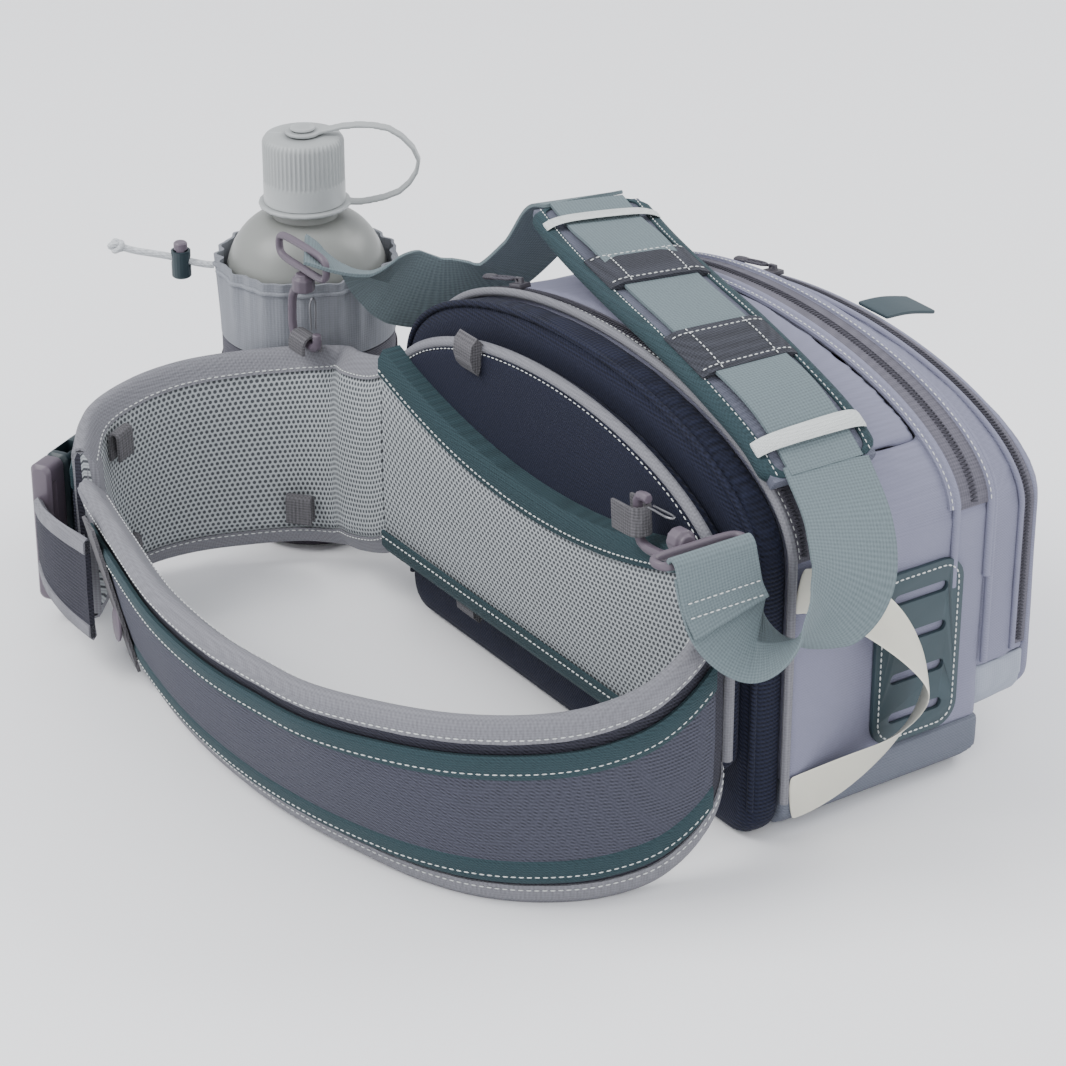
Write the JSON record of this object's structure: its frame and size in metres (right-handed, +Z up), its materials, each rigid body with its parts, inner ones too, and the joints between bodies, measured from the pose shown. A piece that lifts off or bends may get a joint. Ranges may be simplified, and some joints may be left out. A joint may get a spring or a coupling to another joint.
{
  "type": "waist pack",
  "caption": "Domed waist pack on a padded belt, with a carry strap on swivel hooks, side-release buckle, zipped pocket, and a screw-cap bottle in a holder.",
  "frame": {"origin": "middle of the bag's flat floor", "axes": "+X across the back of the wearer, from the bottle side to the plain side; +Y away from the wearer; +Z up"},
  "size_m": [0.55, 0.424, 0.2417],
  "materials": {
    "shell_fabric": "lavender-grey twill polyester, matt",
    "base_fabric": "mid-grey twill, matt",
    "pocket_cap": "light grey coated fabric, matt",
    "back_nylon": "navy ribbed nylon, slight sheen",
    "zip_tape": "dark grey zip tape with coil",
    "rubber_patch": "slate-teal moulded rubber, satin",
    "cream_band": "cream rubber band, satin",
    "belt_mesh": "light grey open air mesh",
    "belt_outer": "dark grey twill webbing, matt",
    "loop_webbing": "grey ribbed webbing, matt",
    "strap_webbing": "light blue-grey woven webbing",
    "sleeve_fabric": "lavender face with teal twill binding",
    "sleeve_patch": "dark grey twill patch, stitched",
    "elastic": "white elastic",
    "hook_plastic": "mauve-grey moulded plastic, satin",
    "dark_plastic": "dark teal moulded plastic, satin",
    "gate_wire": "spring steel wire",
    "slider_metal": "grey painted die-cast",
    "bottle_plastic": "milky translucent plastic",
    "cap_plastic": "white plastic, satin gloss",
    "holder_fabric": "grey coated fabric",
    "collar_fabric": "light grey ripstop",
    "cord": "pale grey braided cord"
  },
  "bodies": {
    "pack": {"base_tray": "base_fabric", "main_shell": "shell_fabric", "top_panel": "shell_fabric", "divider": "base_fabric", "back_panel": "back_nylon", "rear_zip_tape": "zip_tape", "main_zip_tape": "zip_tape", "pocket_cap": "pocket_cap", "pocket_shell": "shell_fabric", "pocket_zip_tape": "zip_tape", "side_patch_near": "rubber_patch", "side_patch_far": "rubber_patch", "side_loop_near": "cream_band", "side_loop_far": "cream_band", "lumbar_pad": "back_nylon", "belt_centre": "belt_mesh", "near_wing": "belt_mesh", "far_wing": "belt_mesh", "near_band": "belt_outer", "far_band": "belt_outer", "belt_loop_1": "loop_webbing", "belt_loop_2": "loop_webbing", "belt_loop_3": "loop_webbing", "buckle_body": "dark_plastic", "belt_web_body": "belt_outer", "hook_near": "hook_plastic", "hook_loop_far": "loop_webbing", "hook_loop_near": "loop_webbing", "bottle_holder": "holder_fabric", "holder_collar": "collar_fabric", "drawcord": "cord", "cord_knot": "cord"},
    "front_panel": {"pocket_panel": "shell_fabric", "front_pull_tab": "rubber_patch"},
    "strap": {"sleeve_pad": "sleeve_fabric", "sleeve_patch_far": "sleeve_patch", "sleeve_patch_near": "sleeve_patch", "keeper_far": "elastic", "keeper_near": "elastic", "strap_web": "strap_webbing", "ring_far": "hook_plastic", "ring_near": "hook_plastic"},
    "far_hook": {"hook_far": "hook_plastic"},
    "far_gate": {"gate_far": "gate_wire"},
    "near_gate": {"gate_near": "gate_wire"},
    "buckle_half": {"buckle_plug": "hook_plastic", "belt_web_plug": "belt_outer"},
    "upper_prong": {"buckle_prong_upper": "hook_plastic"},
    "lower_prong": {"buckle_prong_lower": "hook_plastic"},
    "bottle": {"bottle": "bottle_plastic", "cap_tether": "cap_plastic"},
    "cap": {"bottle_cap": "cap_plastic"},
    "cord_lock": {"cord_lock_body": "dark_plastic"},
    "lock_button": {"cord_lock_button": "hook_plastic"},
    "rear_slider": {"rear_zip_slider": "slider_metal"},
    "rear_pull": {"rear_zip_pull": "loop_webbing"},
    "main_slider": {"main_zip_slider": "slider_metal"},
    "main_pull": {"main_zip_pull": "loop_webbing"},
    "pocket_slider": {"pocket_zip_slider": "slider_metal"},
    "pocket_pull": {"pocket_zip_pull": "loop_webbing"}
  },
  "joints": [
    {"name": "strap_swing", "type": "hinge", "parent": "pack", "child": "strap", "pos_m": [-0.218, -0.108, 0.141], "axis": [0.9963, -0.0187, 0.0841], "range_deg": [0, 105]},
    {"name": "far_hook_swivel", "type": "hinge", "parent": "strap", "child": "far_hook", "pos_m": [-0.218, -0.108, 0.141], "axis": [0, 0, 1], "range_deg": [-6, 6]},
    {"name": "far_gate_open", "type": "hinge", "parent": "far_hook", "child": "far_gate", "pos_m": [-0.2086, -0.108, 0.1714], "axis": [0, 1, 0], "range_deg": [0, 28], "stiffness_Nm_per_rad": 0.02, "springref_deg": -17.19},
    {"name": "near_gate_open", "type": "hinge", "parent": "pack", "child": "near_gate", "pos_m": [0.1315, -0.11457, 0.17992], "axis": [-0.0186, -0.9998, -0.0016], "range_deg": [0, 28], "stiffness_Nm_per_rad": 0.02, "springref_deg": -17.19},
    {"name": "buckle_release", "type": "slide", "parent": "pack", "child": "buckle_half", "axis": [0.5, -0.866, 0], "range_m": [0, 0.04]},
    {"name": "upper_prong_press", "type": "hinge", "parent": "buckle_half", "child": "upper_prong", "pos_m": [-0.255, -0.2452, 0.0795], "axis": [-0.866, -0.5, 0], "range_deg": [0, 7], "stiffness_Nm_per_rad": 0.3, "springref_deg": -2.86},
    {"name": "lower_prong_press", "type": "hinge", "parent": "buckle_half", "child": "lower_prong", "pos_m": [-0.255, -0.2452, 0.0285], "axis": [0.866, 0.5, 0], "range_deg": [0, 7], "stiffness_Nm_per_rad": 0.3, "springref_deg": -2.86},
    {"name": "bottle_lift", "type": "slide", "parent": "pack", "child": "bottle", "axis": [0, 0, 1], "range_m": [0, 0.19]},
    {"name": "cap_turn", "type": "hinge", "parent": "bottle", "child": "cap", "pos_m": [-0.279, -0.07, 0.215], "axis": [0, 0, 1], "continuous": true},
    {"name": "cord_lock_slide", "type": "slide", "parent": "pack", "child": "cord_lock", "axis": [-0.5464, -0.7986, 0.2522], "range_m": [-0.005, 0.007]},
    {"name": "lock_button_press", "type": "slide", "parent": "cord_lock", "child": "lock_button", "axis": [0, 0, -1], "range_m": [0, 0.003], "stiffness_N_per_m": 300, "springref_m": -0.003},
    {"name": "pocket_open", "type": "hinge", "parent": "pack", "child": "front_panel", "pos_m": [0, 0.0988, 0.0246], "axis": [-1, 0, 0], "range_deg": [0, 70]},
    {"name": "rear_zip_slide", "type": "hinge", "parent": "pack", "child": "rear_slider", "pos_m": [0, -0.0565, -0.12416], "axis": [0, 1, 0], "range_deg": [-6, 8]},
    {"name": "rear_pull_flip", "type": "hinge", "parent": "rear_slider", "child": "rear_pull", "pos_m": [-0.08894, -0.0565, 0.21114], "axis": [0, 1, 0], "range_deg": [0, 100]},
    {"name": "main_zip_slide", "type": "hinge", "parent": "pack", "child": "main_slider", "pos_m": [0, 0.049, -0.16891], "axis": [0, 1, 0], "range_deg": [0, 28]},
    {"name": "main_pull_flip", "type": "hinge", "parent": "main_slider", "child": "main_pull", "pos_m": [-0.10324, 0.049, 0.2], "axis": [0, 1, 0], "range_deg": [0, 100]},
    {"name": "pocket_zip_slide", "type": "hinge", "parent": "pack", "child": "pocket_slider", "pos_m": [0, 0.0924, -0.18743], "axis": [0, 1, 0], "range_deg": [0, 17]},
    {"name": "pocket_pull_flip", "type": "hinge", "parent": "pocket_slider", "child": "pocket_pull", "pos_m": [-0.0663, 0.0924, 0.19197], "axis": [0, 1, 0], "range_deg": [0, 100]}
  ]
}
